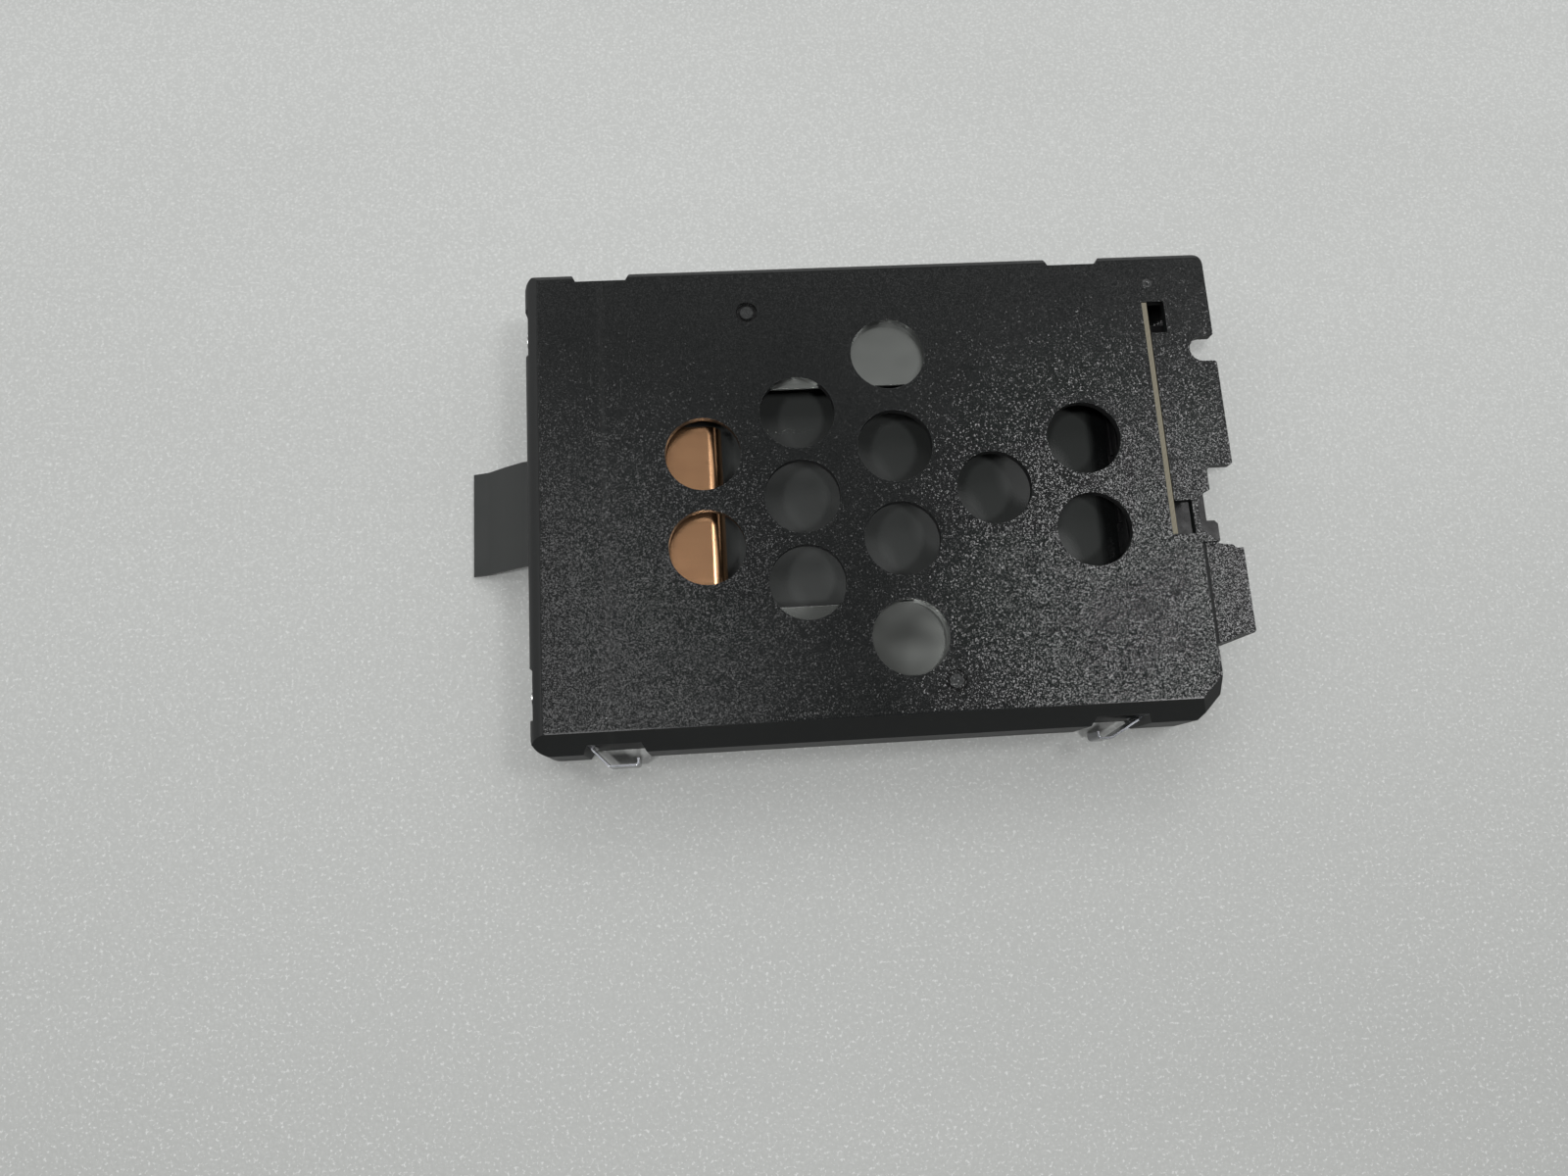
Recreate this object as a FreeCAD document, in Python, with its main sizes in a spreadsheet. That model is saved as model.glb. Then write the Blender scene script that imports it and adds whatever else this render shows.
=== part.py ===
import FreeCAD, Part
import math
import operator
import os

import Sketcher
from FreeCAD import Vector

# Hot swap caddy for a 2.5 inch drive: a flat moulded box of cover and tray, with steel rails,
# spring clips on the near side, a copper pressure leaf, an upright circuit board and a film pull tab.
# +X runs to the connector end, +Y to the far long side, +Z up. The origin lies on the tray's
# underside, in the middle of the moulded outline. Millimetres throughout.

DIMENSIONS = {
    # moulded shell
    "body_length": 122.0,
    "body_width": 84.0,
    "body_height": 14.5,
    "side_wall": 1.6,
    "top_skin": 1.5,
    "floor_skin": 1.5,
    "parting_height": 4.0,
    "near_corner": 3.4,
    "far_corner": 2.8,
    "rear_corner": 2.4,
    "key_bevel": 3.3,
    "corner_bevel": 2.2,
    "front_roll": 2.7,
    "far_roll": 1.0,
    "bottom_chamfer": 0.6,
    # rear end
    "shoulder_setback": 7.0,
    "corner_cut": 4.0,
    "tongue_near": 29.7,
    "tongue_taper": 1.6,
    "tongue_far": 13.2,
    "tongue_drop": 0.5,
    "mouth_near": 12.0,
    "wide_notch_top": 1.6,
    "wide_notch_shelf": 4.7,
    "throat_setback": 7.15,
    "throat_from": 6.1,
    "throat_to": 9.7,
    "throat_radius": 3.36,
    "notch_foot": 4.1,
    "tray_notch_depth": 1.6,
    "tray_notch_from": 5.5,
    "ledge_drop": 3.5,
    "ledge_width": 0.65,
    "round_notch_place": 23.4,
    "round_notch_radius": 2.35,
    "round_notch_depth": 4.6,
    "notch_lip": 0.6,
    # windows of the cover
    "window_radius": 6.5,
    "window_pitch": 16.55,
    "window_first": 30.8,
    "window_centre": 0.55,
    "inner_pair": 8.25,
    "middle_pair": 15.05,
    "outer_pair": 25.25,
    "dimple_radius": 1.9,
    "dimple_depth": 0.5,
    "stub_radius": 1.2,
    "stub_drop": 0.15,
    # side recesses and clips
    "front_recess_from": 8.4,
    "rear_recess_from": 18.9,
    "recess_length": 10.3,
    "recess_depth": 1.45,
    "recess_flare": 0.76,
    "recess_backing": 4.0,
    "clip_thickness": 0.35,
    "clip_tall": 5.7,
    "clip_crest": 2.1,
    "front_clip_rise": 2.8,
    "rear_clip_rise": 5.4,
    "clip_length": 7.6,
    "clip_lip": 1.2,
    "clip_neck": 0.9,
    "eye_radius": 0.75,
    "eye_depth": 0.45,
    "eye_place": 0.4,
    # rails
    "rail_thickness": 0.5,
    "rail_flange_edge": 19.5,
    "rail_foot": 1.4,
    "rail_setback": 6.4,
    "rail_end_gap": 0.4,
    "stake_radius": 1.1,
    "stake_head_radius": 1.9,
    "stake_head_height": 0.6,
    "stake_side": 33.5,
    "near_stake_column": 2.42,
    "far_stake_column": 0.53,
    # copper leaf and its slot
    "leaf_thickness": 0.3,
    "leaf_width": 30.0,
    "leaf_centre": 1.15,
    "leaf_depth": 1.2,
    "leaf_end": 27.7,
    "leaf_bend": 28.6,
    "leaf_roll": 2.6,
    "leaf_droop": 0.9,
    "leaf_curl": 2.2,
    "anchor_from": 2.8,
    "anchor_length": 3.8,
    "anchor_height": 2.4,
    "slot_play": 0.15,
    # board and connectors
    "board_thickness": 0.9,
    "board_setback": 12.15,
    "board_tab": 43.0,
    "board_centre": 11.15,
    "board_shoulder": 2.5,
    "board_clearance": 0.1,
    "board_window_length": 3.0,
    "board_window_wide": 6.0,
    "guide_height": 8.0,
    "guide_grip": 1.2,
    "guide_wall": 1.4,
    "connector_centre": 10.1,
    "connector_width": 42.0,
    "connector_height": 4.8,
    "connector_bottom": 3.2,
    "receptacle_depth": 5.5,
    "receptacle_back": 1.2,
    "plug_base": 4.0,
    "plug_blade": 5.0,
    "plug_block": 4.3,
    "plug_reach": 10.15,
    "blade_thickness": 1.2,
    "power_blade": 20.6,
    "signal_blade": 10.4,
    "blade_gap": 2.4,
    "contact_pitch": 1.27,
    "contact_width": 0.7,
    "contact_thickness": 0.2,
    # pull tab and its clamp
    "tab_width": 19.0,
    "tab_centre": 0.8,
    "tab_thickness": 0.35,
    "tab_height": 6.6,
    "tab_reach": 11.5,
    "tab_tip_height": 0.45,
    "tab_slot_play": 0.15,
    "ledge_length": 4.2,
    "clamp_thickness": 1.3,
    # screws
    "screw_radius": 0.75,
    "screw_bite": 0.05,
    "screw_play": 0.3,
    "head_radius": 2.0,
    "head_height": 0.6,
    "front_screw_side": 31.8,
    "front_screw_height": 9.0,
    "front_recess_width": 8.7,
    "front_recess_depth": 0.65,
    "post_length": 4.8,
    "post_width": 7.0,
    "boss_radius": 2.6,
    "near_boss_setback": 13.4,
    "far_boss_setback": 4.6,
    "boss_side": 37.3,
    "counterbore_depth": 1.2,
    "rear_screw_length": 8.0,
    # drive bay
    "drive_side": 35.3,
    "rib_thickness": 0.7,
    "rib_height": 2.5,
    "stop_thickness": 0.8,
    "stop_height": 5.0,
}
OVERCUT = 1.0
JOIN = 0.3
CHIP_COUNT = 6
# reach and half width of a screw's cross recess, as shares of the head's radius
CROSS_SHARES = (0.6, 0.13)
# the pull tab's bends, each as shares of its reach and of its drop
TAB_BENDS = ((0.12, 0.0), (0.45, 0.42), (0.75, 0.85), (1.0, 1.0))

OPERATIONS = {"+": operator.add, "-": operator.sub, "*": operator.mul, "/": operator.truediv}


class Measure:
    """A length that keeps the sheet expression it comes from, so that features can be bound to it."""

    def __init__(self, value, text):
        self.value = value
        self.text = text

    def __add__(self, other):
        return combined(self, "+", other)

    def __radd__(self, other):
        return combined(other, "+", self)

    def __sub__(self, other):
        return combined(self, "-", other)

    def __rsub__(self, other):
        return combined(other, "-", self)

    def __mul__(self, other):
        return combined(self, "*", other)

    def __rmul__(self, other):
        return combined(other, "*", self)

    def __truediv__(self, other):
        return combined(self, "/", other)

    def __neg__(self):
        return combined(-1, "*", self)


def measure(number):
    return number if isinstance(number, Measure) else Measure(float(number), repr(float(number)))


def combined(left, sign, right):
    left = measure(left)
    right = measure(right)
    return Measure(OPERATIONS[sign](left.value, right.value), f"({left.text} {sign} {right.text})")


class Sheet:
    """The spreadsheet of driving dimensions; each alias is an attribute that holds its Measure."""

    def __init__(self, document, values):
        self.table = document.addObject("Spreadsheet::Sheet", "Sizes")
        for row, (name, value) in enumerate(values.items(), start=1):
            self.table.set(f"A{row}", name)
            self.table.set(f"B{row}", repr(value))
            self.table.setAlias(f"B{row}", name)
            setattr(self, name, Measure(value, "Sizes." + name))


doc = FreeCAD.newDocument("caddy")
size = Sheet(doc, DIMENSIONS)
doc.recompute()

# --- shared places -------------------------------------------------------------------------

front = -size.body_length / 2
rear = size.body_length / 2
near = -size.body_width / 2
far = size.body_width / 2
top = size.body_height
ceiling = top - size.top_skin
floor = size.floor_skin
parting = size.parting_height
shoulder = rear - size.shoulder_setback
inner_front = front + size.side_wall
inner_shoulder = shoulder - size.side_wall
inner_near = near + size.side_wall
inner_far = far - size.side_wall
board_front = rear - size.board_setback
board_rear = board_front + size.board_thickness
board_low = size.board_centre - size.board_tab / 2
board_high = size.board_centre + size.board_tab / 2
rail_outside = far - size.recess_backing
rail_start = inner_front + size.rail_setback
rail_end = rear - size.near_boss_setback - size.boss_radius - size.rail_end_gap
leaf_level = ceiling - size.leaf_depth
tab_level = size.tab_height + size.tab_thickness / 2


# --- sketches and features -----------------------------------------------------------------

def new_body(label):
    body = doc.addObject("PartDesign::Body", label)
    body.Label = label
    body.AllowCompound = True
    return body


def new_sketch(body, plane, start):
    """A sketch on one of the body's own origin planes, moved along its normal to start."""
    sketch = body.newObject("Sketcher::SketchObject", body.Name + "_sketch")
    origin_plane = [part for part in body.Origin.OriginFeatures if part.Role == plane + "_Plane"][0]
    sketch.AttachmentSupport = [(origin_plane, "")]
    sketch.MapMode = "FlatFace"
    sketch.setExpression("AttachmentOffset.Base.z", measure(start).text)
    return sketch


def hold(sketch, kind, geometry, point, distance):
    """Ties one point to the sketch's origin with a signed distance bound to the sheet."""
    index = sketch.addConstraint(Sketcher.Constraint(kind, -1, 1, geometry, point, distance.value))
    sketch.setExpression(f"Constraints[{index}]", distance.text)


def arc_between(start, end, radius):
    """The short arc from start to end that bends left where radius is positive, right where not."""
    chord = end - start
    half = chord.Length / 2
    middle = (start + end) * 0.5
    normal = Vector(-chord.y, chord.x, 0).normalize()
    rise = math.sqrt(max(radius * radius - half * half, 0.0))
    centre = middle + normal * (rise if radius > 0 else -rise)
    first, last = (start, end) if radius > 0 else (end, start)
    first_angle = math.atan2(first.y - centre.y, first.x - centre.x)
    last_angle = math.atan2(last.y - centre.y, last.x - centre.x)
    return Part.ArcOfCircle(Part.Circle(centre, Vector(0, 0, 1), abs(radius)), first_angle, last_angle)


def draw_outline(sketch, corners):
    """A closed outline. A corner is (x, y), or (x, y, radius) where an arc leads to the next."""
    corners = [[measure(part) for part in corner] for corner in corners]
    spots = [Vector(corner[0].value, corner[1].value, 0) for corner in corners]
    ends = []
    for index, corner in enumerate(corners):
        start = spots[index]
        end = spots[(index + 1) % len(spots)]
        if len(corner) == 3:
            geometry = sketch.addGeometry(arc_between(start, end, corner[2].value), False)
            radius = corner[2] if corner[2].value > 0 else -corner[2]
            bound = sketch.addConstraint(Sketcher.Constraint("Radius", geometry, radius.value))
            sketch.setExpression(f"Constraints[{bound}]", radius.text)
            ends.append((geometry, 1, 2) if corner[2].value > 0 else (geometry, 2, 1))
        else:
            ends.append((sketch.addGeometry(Part.LineSegment(start, end), False), 1, 2))
    for index, (geometry, first, _) in enumerate(ends):
        previous, _, last = ends[index - 1]
        sketch.addConstraint(Sketcher.Constraint("Coincident", previous, last, geometry, first))
        hold(sketch, "DistanceX", geometry, first, corners[index][0])
        hold(sketch, "DistanceY", geometry, first, corners[index][1])


def draw_circle(sketch, x, y, radius):
    x, y, radius = measure(x), measure(y), measure(radius)
    circle = Part.Circle(Vector(x.value, y.value, 0), Vector(0, 0, 1), radius.value)
    geometry = sketch.addGeometry(circle, False)
    hold(sketch, "DistanceX", geometry, 3, x)
    hold(sketch, "DistanceY", geometry, 3, y)
    bound = sketch.addConstraint(Sketcher.Constraint("Radius", geometry, radius.value))
    sketch.setExpression(f"Constraints[{bound}]", radius.text)


def extrude(body, sketch, length, cut):
    """Adds or removes the sketch's profile along the sketch's own normal."""
    kind = "PartDesign::Pocket" if cut else "PartDesign::Pad"
    feature = body.newObject(kind, body.Name + ("_cut" if cut else "_pad"))
    feature.Profile = sketch
    feature.Reversed = cut
    feature.Refine = False
    feature.setExpression("Length", measure(length).text)
    return feature


def prism(body, plane, start, end, *outlines, cut=False):
    """Outlines run along the plane's normal. XZ looks along -Y, so its start and end swap sign."""
    if plane == "XZ":
        start, end = -measure(end), -measure(start)
    sketch = new_sketch(body, plane, start)
    for corners in outlines:
        draw_outline(sketch, corners)
    return extrude(body, sketch, end - measure(start), cut)


def rectangle(across, along):
    return [(across[0], along[0]), (across[1], along[0]), (across[1], along[1]), (across[0], along[1])]


def block(body, x_span, y_span, z_span, cut=False):
    return prism(body, "XY", z_span[0], z_span[1], rectangle(x_span, y_span), cut=cut)


def rod(body, plane, start, end, centres, radius, cut=False):
    """One or more round bars or holes along the plane's normal."""
    if plane == "XZ":
        start, end = -measure(end), -measure(start)
    sketch = new_sketch(body, plane, start)
    for x, y in centres:
        draw_circle(sketch, x, y, radius)
    return extrude(body, sketch, end - measure(start), cut)


def dress(body, kind, amount, chosen):
    """A fillet or chamfer on the edges of the body so far that the chosen test accepts."""
    doc.recompute()
    base = body.Tip
    names = [f"Edge{number}" for number, edge in enumerate(base.Shape.Edges, start=1) if chosen(edge)]
    feature = body.newObject("PartDesign::" + kind, body.Name + "_" + kind.lower())
    feature.Base = (base, names)
    feature.setExpression("Radius" if kind == "Fillet" else "Size", measure(amount).text)
    return feature


def upright_at(*places):
    """Accepts the upright edges that stand on one of the given places."""
    spots = [(measure(x).value, measure(y).value) for x, y in places]

    def chosen(edge):
        ends = [vertex.Point for vertex in edge.Vertexes]
        if len(ends) != 2 or math.hypot(ends[0].x - ends[1].x, ends[0].y - ends[1].y) > 0.001:
            return False
        return any(math.hypot(ends[0].x - x, ends[0].y - y) < 0.01 for x, y in spots)

    return chosen


def level_at(height, low_x=-math.inf):
    """Accepts the edges that lie at one height, beyond low_x."""
    height = measure(height).value

    def chosen(edge):
        box = edge.BoundBox
        return abs(box.ZMin - height) < 0.001 and abs(box.ZMax - height) < 0.001 and box.XMin > low_x

    return chosen


# --- sheet pieces --------------------------------------------------------------------------

def bent_path(points, radii):
    """Straight runs joined by tangent bends, one radius for each corner."""
    edges = []
    last = points[0]
    for before, corner, after, radius in zip(points, points[1:], points[2:], radii):
        back = (before - corner).normalize()
        onward = (after - corner).normalize()
        half_turn = (math.pi - back.getAngle(onward)) / 2
        reach = radius * math.tan(half_turn)
        inward = (back + onward).normalize()
        middle = corner + inward * (radius / math.cos(half_turn) - radius)
        edges.append(Part.makeLine(last, corner + back * reach))
        edges.append(Part.Arc(corner + back * reach, middle, corner + onward * reach).toShape())
        last = corner + onward * reach
    edges.append(Part.makeLine(last, points[-1]))
    return Part.Wire(edges)


def nearest_vertex(wire, place):
    return min((vertex.Point for vertex in wire.Vertexes), key=place.distanceToPoint)


def bent_strip(points, radii, thickness, width):
    """A square-ended strip of sheet along the path through the points, extruded along width."""
    path = bent_path(points, radii)
    sides = [path.makeOffset2D(offset, 0, False, True, False) for offset in (thickness / 2, -thickness / 2)]
    outline = sides[0].Edges + sides[1].Edges
    for place in (points[0], points[-1]):
        corners = [nearest_vertex(side, place) for side in sides]
        outline.append(Part.makeLine(*corners))
    return Part.Face(Part.Wire(Part.__sortEdges__(outline))).extrude(width)


def sheet_piece(label, shape):
    piece = doc.addObject("Part::Feature", label)
    piece.Label = label
    piece.Shape = shape
    return piece


# --- moulded shell -------------------------------------------------------------------------

def shell_outline():
    """Plan of both mouldings: rounded front, cut rear corner on the near side, stepped tongue."""
    near_r, far_r, rear_r = size.near_corner, size.far_corner, size.rear_corner
    jog = rear - size.shoulder_setback / 2
    return [
        (front, near + near_r, near_r),
        (front + near_r, near),
        (shoulder - size.corner_cut, near),
        (shoulder, near + size.corner_cut),
        (shoulder, -size.tongue_near),
        (jog - JOIN, -size.tongue_near + size.tongue_taper / 2),
        (jog + JOIN, -size.tongue_near + size.tongue_taper),
        (rear, -size.tongue_near + size.tongue_taper),
        (rear, far - rear_r, rear_r),
        (rear - rear_r, far),
        (front + far_r, far, far_r),
        (front, far - far_r),
    ]


def hollow_shell(body, low, high):
    """Opens the bay, the part behind the cut corner and the connector mouth at the rear."""
    step = shoulder - size.corner_cut - size.side_wall
    lane = near + size.corner_cut + size.side_wall
    outline = [
        (inner_front, inner_near),
        (step, inner_near),
        (step, lane),
        (inner_shoulder, lane),
        (inner_shoulder, -size.mouth_near),
        (rear + OVERCUT, -size.mouth_near),
        (rear + OVERCUT, inner_far),
        (inner_front, inner_far),
    ]
    prism(body, "XY", low, high, outline, cut=True)


def cut_round_notch(body, low, high):
    """The U-shaped notch that passes over the dock's guide post."""
    radius = size.round_notch_radius
    place = size.round_notch_place
    centre = rear - size.round_notch_depth + radius
    outline = [
        (rear + OVERCUT, place - radius),
        (centre, place - radius, -radius),
        (centre - radius, place, -radius),
        (centre, place + radius),
        (rear + OVERCUT, place + radius),
    ]
    prism(body, "XY", low, high, outline, cut=True)


def cut_wide_notch(body, low, high):
    """Stepped clearance of the cover above the plug: shelf, rounded throat, slanted foot."""
    upper = size.wide_notch_top
    shelf = rear - size.wide_notch_shelf
    arm = size.shoulder_setback - size.wide_notch_shelf
    throat = rear - size.throat_setback
    foot = rear - size.notch_foot
    edge = -size.tongue_far
    outline = [
        (rear + OVERCUT, upper),
        (shelf + arm / 2, upper, arm / 2),
        (shelf, upper - arm / 2),
        (shelf, -size.throat_from + size.throat_radius, size.throat_radius),
        (throat, -size.throat_from),
        (throat, -size.throat_to),
        (foot, edge + size.notch_lip * 1.5),
        (foot + arm, edge + size.notch_lip),
        (foot + arm + size.notch_lip, edge),
        (rear + OVERCUT, edge),
    ]
    prism(body, "XY", low, high, outline, cut=True)


def notch_mouths():
    """Places of the upright edges where the notches and the tongue meet the rear end."""
    place, radius = size.round_notch_place, size.round_notch_radius
    return [(rear, place - radius), (rear, place + radius), (rear, -size.tongue_near + size.tongue_taper)]


def hollow_tongue(body, low, high):
    """Chamber of the tongue, closed on its three free sides."""
    wall = size.side_wall
    along = (shoulder, rear - wall)
    across = (-size.tongue_near + size.tongue_taper + wall, -size.tongue_far - wall)
    block(body, along, across, (low, high), cut=True)


def recess_spans():
    """Each side recess: its X span and the end at which the clip is rooted."""
    front_from = front + size.front_recess_from
    rear_to = rear - size.rear_recess_from
    return {
        "front": (front_from, front_from + size.recess_length, 1),
        "rear": (rear_to - size.recess_length, rear_to, -1),
    }


def back_recesses(body, low, high):
    """Thicker wall behind each recess, which also seats the rails."""
    near_side = (near + size.side_wall - JOIN, near + size.recess_backing)
    far_side = (far - size.recess_backing, far - size.side_wall + JOIN)
    outlines = []
    for start, end, _ in recess_spans().values():
        span = (start - size.side_wall, end + size.side_wall)
        outlines += [rectangle(span, near_side), rectangle(span, far_side)]
    prism(body, "XY", low, high, *outlines)


def cut_recesses(body, low, high):
    flare = size.recess_flare
    outlines = []
    for start, end, _ in recess_spans().values():
        for edge, outward in ((near, -1), (far, 1)):
            outside = edge + outward * OVERCUT
            bottom = edge - outward * size.recess_depth
            corners = [(start, outside), (start, edge), (start + flare, bottom)]
            corners += [(end - flare, bottom), (end, edge), (end, outside)]
            outlines.append(corners)
    prism(body, "XY", low, high, *outlines, cut=True)


def clip_eyes():
    """Centre of each clip's rolled eye and the way the clip runs from it, on the near side."""
    eyes = {}
    for name, (start, end, way) in recess_spans().items():
        inset = size.recess_flare + size.eye_place
        x = start + inset if way > 0 else end - inset
        eyes[f"clip_{name}_near"] = (x, near + size.recess_depth + size.eye_depth, way)
    return eyes


def rail_stakes():
    """Place of the moulded stake that holds each rail up against the cover."""
    near_x = -size.window_first + size.window_pitch * size.near_stake_column
    far_x = -size.window_first + size.window_pitch * size.far_stake_column
    return {"near": (near_x, -size.stake_side), "far": (far_x, size.stake_side)}


def window_places():
    """The twelve round windows: five columns, staggered like a honeycomb."""
    columns = [
        (size.inner_pair,),
        (0, size.middle_pair),
        (size.inner_pair, size.outer_pair),
        (0,),
        (size.inner_pair,),
    ]
    places = []
    for index, offsets in enumerate(columns):
        x = -size.window_first + size.window_pitch * index
        for offset in offsets:
            if isinstance(offset, Measure):
                places.append((x, -size.window_centre + offset))
                places.append((x, -size.window_centre - offset))
            else:
                places.append((x, -size.window_centre))
    return places


def beside_front_screws(width):
    """The two Y spans of the given width about the front screws."""
    sides = [side * size.front_screw_side for side in (-1, 1)]
    return [(middle - width / 2, middle + width / 2) for middle in sides]


def rear_bosses():
    near_boss = (rear - size.near_boss_setback, -size.boss_side)
    far_boss = (rear - size.far_boss_setback, size.boss_side)
    return [near_boss, far_boss]


def add_leaf_anchor(body):
    """Bar under the cover with the slot that the copper leaf's root end lies in."""
    start = inner_front + size.anchor_from - size.side_wall
    end = start + size.anchor_length
    half = size.leaf_width / 2
    centre = -size.leaf_centre
    bar = (centre - half - size.side_wall, centre + half + size.side_wall)
    play = size.leaf_thickness / 2 + size.slot_play
    slot = (centre - half - size.slot_play, centre + half + size.slot_play)
    bar_section = rectangle(bar, (ceiling - size.anchor_height, ceiling + JOIN))
    slot_section = rectangle(slot, (leaf_level - play, leaf_level + play))
    prism(body, "YZ", start, end, bar_section, slot_section)


def cut_board_openings(body):
    """Slit for the board's upper edge and a square window behind each end of it."""
    gap = size.board_clearance
    low, high = board_low - gap, board_high + gap
    behind = board_rear + gap
    window_end = behind + size.board_window_length
    outline = [
        (board_front - gap, low),
        (window_end, low),
        (window_end, low + size.board_window_wide),
        (behind, low + size.board_window_wide),
        (behind, high - size.board_window_wide),
        (window_end, high - size.board_window_wide),
        (window_end, high),
        (board_front - gap, high),
    ]
    prism(body, "XY", ceiling - OVERCUT, top + OVERCUT, outline, cut=True)


def build_cover():
    body = new_body("top_shell")
    prism(body, "XY", parting, top, shell_outline())
    hollow_shell(body, parting - OVERCUT, ceiling)
    # the lowered tongue: its chamber, then its ramped upper side
    drop = size.tongue_drop
    hollow_tongue(body, parting - OVERCUT, ceiling - drop)
    ramp = [
        (shoulder - JOIN, top),
        (shoulder + drop, top - drop),
        (rear + OVERCUT, top - drop),
        (rear + OVERCUT, top + OVERCUT),
        (shoulder - JOIN, top + OVERCUT),
    ]
    prism(body, "XZ", -size.tongue_near - OVERCUT, -size.mouth_near, ramp, cut=True)
    back_recesses(body, parting, ceiling + JOIN)
    rod(body, "XY", parting, ceiling + JOIN, rear_bosses(), size.boss_radius)
    # inside of the key bevel, so that the sloping wall keeps the thickness of the others
    bevel = size.key_bevel
    slope = size.top_skin * (math.sqrt(2) - 1)
    wedge = [
        (inner_near - JOIN, top - bevel - slope),
        (inner_near, top - bevel - slope),
        (near + bevel + slope, ceiling),
        (near + bevel + slope, ceiling + JOIN),
        (inner_near - JOIN, ceiling + JOIN),
    ]
    prism(body, "YZ", inner_front - JOIN, shoulder - size.corner_cut - size.side_wall + JOIN, wedge)
    outer_bevel = [
        (near - OVERCUT, top - bevel - OVERCUT),
        (near + bevel + OVERCUT, top + OVERCUT),
        (near - OVERCUT, top + OVERCUT),
    ]
    prism(body, "YZ", front - OVERCUT, rear + OVERCUT, outer_bevel, cut=True)
    corner_x = (shoulder - size.corner_cut - size.corner_bevel).value
    slanted = level_at(top, corner_x)

    def corner_edge(edge):
        box = edge.BoundBox
        return slanted(edge) and box.YMax < near.value / 2 and box.XLength > JOIN and box.YLength > JOIN

    dress(body, "Chamfer", size.corner_bevel, corner_edge)
    # rounded upper edges along the front and the far side
    roll = size.front_roll
    front_round = [
        (front, top - roll, -roll),
        (front + roll, top),
        (front + roll, top + OVERCUT),
        (front - OVERCUT, top + OVERCUT),
        (front - OVERCUT, top - roll),
    ]
    prism(body, "XZ", near - OVERCUT, far + OVERCUT, front_round, cut=True)
    roll = size.far_roll
    far_round = [
        (far - roll, top, -roll),
        (far, top - roll),
        (far + OVERCUT, top - roll),
        (far + OVERCUT, top + OVERCUT),
        (far - roll, top + OVERCUT),
    ]
    prism(body, "YZ", front - OVERCUT, rear + OVERCUT, far_round, cut=True)
    cut_recesses(body, parting - OVERCUT, top + OVERCUT)
    eyes = [(x, y) for x, y, _ in clip_eyes().values()]
    eye_hole = size.eye_radius + size.screw_bite
    rod(body, "XY", parting - OVERCUT, parting + size.clip_tall + size.slot_play, eyes, eye_hole, cut=True)
    cut_round_notch(body, parting - OVERCUT, top + OVERCUT)
    cut_wide_notch(body, parting - OVERCUT, top + OVERCUT)
    dress(body, "Fillet", size.notch_lip, upright_at(*notch_mouths(), (rear, size.wide_notch_top)))
    ledge = (-size.tongue_far - JOIN, -size.tongue_far + size.ledge_width)
    block(body, (rear - size.notch_foot, rear - size.notch_lip), ledge, (parting, top - size.ledge_drop))
    rod(body, "XY", ceiling - OVERCUT, top + OVERCUT, window_places(), size.window_radius, cut=True)
    cut_board_openings(body)
    add_leaf_anchor(body)
    # one stake for each rail, with the sink mark that it leaves on the upper face
    stakes = list(rail_stakes().values())
    under_flange = ceiling - size.rail_thickness
    rod(body, "XY", under_flange - JOIN, ceiling + JOIN, stakes, size.stake_radius)
    rod(body, "XY", under_flange - size.stake_head_height, under_flange, stakes, size.stake_head_radius)
    rod(body, "XY", top - size.dimple_depth, top + OVERCUT, stakes, size.dimple_radius, cut=True)
    rod(body, "XY", top - size.dimple_depth - JOIN, top - size.stub_drop, stakes, size.stub_radius)
    # front wall: screw recesses open to the top, screw holes and the slot of the pull tab
    recess = (front - OVERCUT, front + size.front_recess_depth)
    low = size.front_screw_height - size.front_recess_width / 2
    widths = beside_front_screws(size.front_recess_width)
    prism(body, "XY", low, top + OVERCUT, *[rectangle(recess, width) for width in widths], cut=True)
    holes = [(side * size.front_screw_side, size.front_screw_height) for side in (-1, 1)]
    clear = size.screw_radius + size.screw_play
    rod(body, "YZ", front - OVERCUT, inner_front + JOIN, holes, clear, cut=True)
    half = size.tab_width / 2 + size.tab_slot_play
    play = size.tab_thickness / 2 + size.tab_slot_play
    slot = (size.tab_centre - half, size.tab_centre + half)
    block(body, (front - OVERCUT, inner_front + JOIN), slot, (tab_level - play, tab_level + play), cut=True)
    bite = size.screw_radius + size.screw_bite
    reach = size.rear_screw_length + size.counterbore_depth
    rod(body, "XY", parting - OVERCUT, reach + JOIN, rear_bosses(), bite, cut=True)
    return body


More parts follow.
